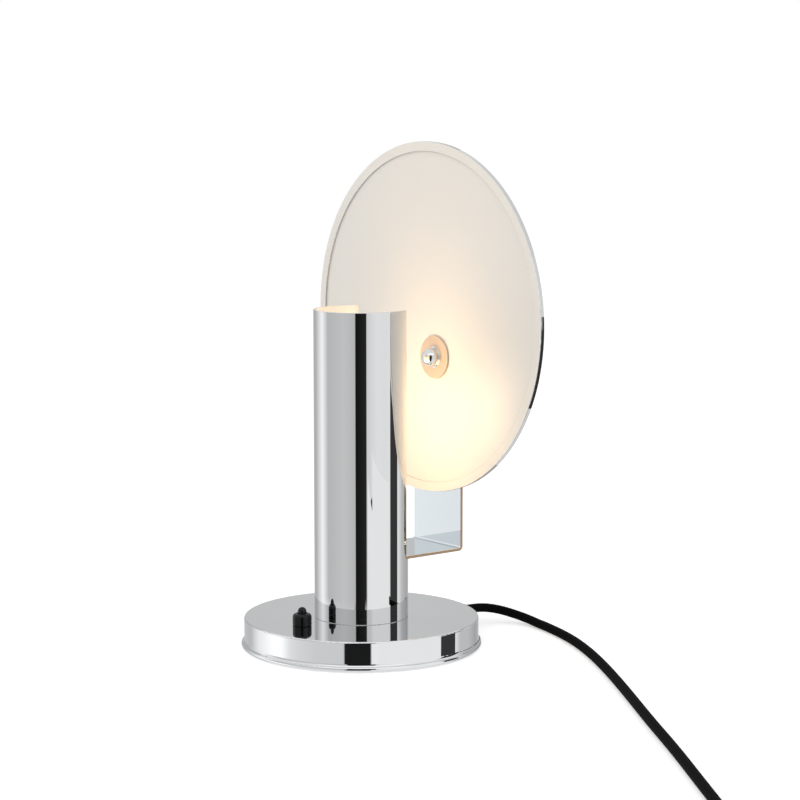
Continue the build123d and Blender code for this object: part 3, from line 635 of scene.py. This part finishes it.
# studio: pale floor, even white room, a wall, cards and a panel that only the chrome sees
studio = {
    "cameraSide": (0.7943, -0.6075),
    "pictureRight": (0.6075, 0.7943),
    "roomLight": 0.78,
    "floorShader": {"Base_Color": (0.86, 0.86, 0.86), "Roughness": 0.9, "Specular_IOR_Level": 0.0},
    "floorLift": 0.42,
    "floorSize": 3.0,
    "keyPlace": (0.5, -1.2, 1.4),
    "keyAim": (0.0, 0.02, 0.15),
    "keySize": 1.2,
    "keyPower": 6.0,
}


def studioPoint(right, near, height):
    towards, across = studio["cameraSide"], studio["pictureRight"]
    return (towards[0] * near + across[0] * right, towards[1] * near + across[1] * right, height)


def glowFinish(name, strength):
    material = bpy.data.materials.new(name)
    material.use_nodes = True
    tree = material.node_tree
    tree.nodes.clear()
    glow = addNode(tree, "ShaderNodeEmission")
    glow.inputs["Strength"].default_value = strength
    tree.links.new(glow.outputs["Emission"], addNode(tree, "ShaderNodeOutputMaterial").inputs["Surface"])
    return material


# each card: start and end as (right, near), low and high edge, strength
cards = {
    "flag": {"start": (0.42, -0.045), "end": (0.42, 0.104), "low": -0.124, "high": 0.22, "strength": 0.05},
    "fence": {"start": (0.125, 0.065), "end": (0.125, 0.26), "low": -0.12, "high": 0.09, "strength": 1.11},
    "lowFence": {"start": (0.125, 0.26), "end": (0.125, 0.45), "low": -0.12, "high": 0.045, "strength": 1.11},
}


overhead = {"right": 1.2, "near": (0.6, 2.0), "height": 1.19, "strength": 1.4}


# light levels round the lamp as its chrome mirrors them: bearing from the camera's side, level
wall = {
    "radius": 1.8,
    "low": -1.6,
    "high": 1.2,
    "sides": 96,
    "upperLevels": [
        (-180, 0.69), (-168, 0.64), (-155, 0.53), (-139, 0.6), (-121, 0.97), (-108, 1.29), (-96, 0.97),
        (-87, 0.665), (-67, 0.706), (-42, 0.76), (-27, 0.715), (-13.8, 0.656), (-13.4, 0.008),
        (13.0, 0.025), (13.4, 0.848), (24.6, 0.96), (40, 1.044), (64, 1.022), (78, 1.097), (104, 1.0),
        (118, 0.665), (147, 0.48), (180, 0.69),
    ],
    "lowerLevels": [
        (-180, 0.62), (-135, 0.656), (-118, 1.147), (-104, 1.33), (-92, 1.496), (-82, 1.438),
        (-72, 1.039), (-63, 0.939), (-45, 0.848), (-16.8, 0.831), (-16.4, 0.016), (9.2, 0.016),
        (9.6, 1.13), (17, 1.147), (50, 1.163), (77, 1.122), (104, 0.997), (111, 0.7), (126, 0.68),
        (147, 0.46), (180, 0.62),
    ],
    "fadeLow": -0.39,
    "fadeHigh": -0.355,
    "strongest": 2.0,
}


def levelRamp(tree, factor, levels):
    ramp = addNode(tree, "ShaderNodeValToRGB")
    stops = ramp.color_ramp.elements
    while len(stops) < len(levels):
        stops.new(0.5)
    for stop, (bearing, level) in zip(stops, levels):
        stop.position = bearing / 360 + 0.5
        stop.color = (*[level / wall["strongest"]] * 3, 1.0)
    tree.links.new(factor, ramp.inputs["Fac"])
    return ramp.outputs["Color"]


def addWall():
    ring, sides = wall["radius"], wall["sides"]
    corners = []
    for height in (wall["low"], wall["high"]):
        for step in range(sides):
            angle = math.tau * step / sides
            corners.append((ring * math.cos(angle), ring * math.sin(angle), height))
    faces = []
    for step in range(sides):
        following = (step + 1) % sides
        faces.append((step, following, sides + following, sides + step))
    sheet = bpy.data.meshes.new("wall")
    sheet.from_pydata(corners, [], faces)
    material = bpy.data.materials.new("wall")
    material.use_nodes = True
    tree = material.node_tree
    tree.nodes.clear()
    where = addNode(tree, "ShaderNodeTexCoord")
    along = []
    for side in ("pictureRight", "cameraSide"):
        dot = addNode(tree, "ShaderNodeVectorMath", operation="DOT_PRODUCT")
        dot.inputs[1].default_value = (*studio[side], 0.0)
        tree.links.new(where.outputs["Object"], dot.inputs[0])
        along.append(dot.outputs["Value"])
    share = addMath(tree, "MULTIPLY_ADD", addMath(tree, "ARCTAN2", *along), 1 / math.tau, 0.5)
    apart = addNode(tree, "ShaderNodeSeparateXYZ")
    tree.links.new(where.outputs["Object"], apart.inputs["Vector"])
    fade = addNode(tree, "ShaderNodeMapRange")
    fade.inputs["From Min"].default_value = wall["fadeLow"]
    fade.inputs["From Max"].default_value = wall["fadeHigh"]
    tree.links.new(apart.outputs["Z"], fade.inputs["Value"])
    blend = addNode(tree, "ShaderNodeMix", data_type="RGBA")
    tree.links.new(fade.outputs["Result"], blend.inputs["Factor"])
    tree.links.new(levelRamp(tree, share, wall["lowerLevels"]), blend.inputs[6])
    tree.links.new(levelRamp(tree, share, wall["upperLevels"]), blend.inputs[7])
    glow = addNode(tree, "ShaderNodeEmission")
    glow.inputs["Strength"].default_value = wall["strongest"]
    tree.links.new(blend.outputs[2], glow.inputs["Color"])
    tree.links.new(glow.outputs["Emission"], addNode(tree, "ShaderNodeOutputMaterial").inputs["Surface"])
    sheet.materials.append(material)
    onlyForChrome(bpy.data.objects.new("wall", sheet))


def onlyForChrome(panel):
    scene.collection.objects.link(panel)
    panel.visible_camera = False
    panel.visible_diffuse = False
    panel.visible_shadow = False
    panel.visible_transmission = False


def addCard(name, card):
    corners = [studioPoint(*card["start"], card["low"]), studioPoint(*card["end"], card["low"]),
               studioPoint(*card["end"], card["high"]), studioPoint(*card["start"], card["high"])]
    sheet = bpy.data.meshes.new(name)
    sheet.from_pydata(corners, [], [(0, 1, 2, 3)])
    sheet.materials.append(glowFinish(name, card["strength"]))
    onlyForChrome(bpy.data.objects.new(name, sheet))


def addOverhead():
    half = overhead["right"]
    front, back = overhead["near"]
    outline = [(-half, front), (half, front), (half, back), (-half, back)]
    corners = [studioPoint(right, near, overhead["height"]) for right, near in outline]
    sheet = bpy.data.meshes.new("overhead")
    sheet.from_pydata(corners, [], [(0, 1, 2, 3)])
    sheet.materials.append(glowFinish("overhead", overhead["strength"]))
    onlyForChrome(bpy.data.objects.new("overhead", sheet))


def addFloor():
    half = studio["floorSize"]
    sheet = bpy.data.meshes.new("floor")
    corners = [(-half, -half, 0), (half, -half, 0), (half, half, 0), (-half, half, 0)]
    sheet.from_pydata(corners, [], [(0, 1, 2, 3)])
    material, tree, surface = newFinish("floor", **studio["floorShader"])
    lift = addNode(tree, "ShaderNodeEmission")
    lift.inputs["Strength"].default_value = studio["floorLift"]
    both = addNode(tree, "ShaderNodeAddShader")
    pick = addNode(tree, "ShaderNodeMixShader")
    path = addNode(tree, "ShaderNodeLightPath")
    out = tree.nodes["Material Output"]
    tree.links.new(surface.outputs["BSDF"], both.inputs[0])
    tree.links.new(lift.outputs["Emission"], both.inputs[1])
    tree.links.new(path.outputs["Is Camera Ray"], pick.inputs["Fac"])
    tree.links.new(surface.outputs["BSDF"], pick.inputs[1])
    tree.links.new(both.outputs["Shader"], pick.inputs[2])
    tree.links.new(pick.outputs["Shader"], out.inputs["Surface"])
    sheet.materials.append(material)
    floor = bpy.data.objects.new("floor", sheet)
    scene.collection.objects.link(floor)
    floor.visible_glossy = False


def addRoom():
    room = bpy.data.worlds.new("room")
    room.use_nodes = True
    scene.world = room
    tree = room.node_tree
    tree.nodes.clear()
    seen = addNode(tree, "ShaderNodeBackground")
    seen.inputs["Color"].default_value = (1, 1, 1, 1)
    lit = addNode(tree, "ShaderNodeBackground")
    lit.inputs["Color"].default_value = (1, 1, 1, 1)
    lit.inputs["Strength"].default_value = studio["roomLight"]
    path = addNode(tree, "ShaderNodeLightPath")
    mirrored = addMath(tree, "MAXIMUM", path.outputs["Is Glossy Ray"], path.outputs["Is Transmission Ray"])
    straight = addMath(tree, "MAXIMUM", path.outputs["Is Camera Ray"], mirrored)
    pick = addNode(tree, "ShaderNodeMixShader")
    tree.links.new(straight, pick.inputs["Fac"])
    tree.links.new(lit.outputs["Background"], pick.inputs[1])
    tree.links.new(seen.outputs["Background"], pick.inputs[2])
    tree.links.new(pick.outputs["Shader"], addNode(tree, "ShaderNodeOutputWorld").inputs["Surface"])


def addKey():
    light = bpy.data.lights.new("key", "AREA")
    light.size = studio["keySize"]
    light.energy = studio["keyPower"]
    holder = bpy.data.objects.new("key", light)
    holder.location = studio["keyPlace"]
    aim = Vector(studio["keyAim"]) - Vector(studio["keyPlace"])
    holder.rotation_euler = aim.to_track_quat("-Z", "Y").to_euler()
    holder.visible_glossy = False
    holder.visible_camera = False
    scene.collection.objects.link(holder)


addRoom()
addFloor()
addKey()
addWall()
addOverhead()
for name, card in cards.items():
    addCard(name, card)
print("studio set")
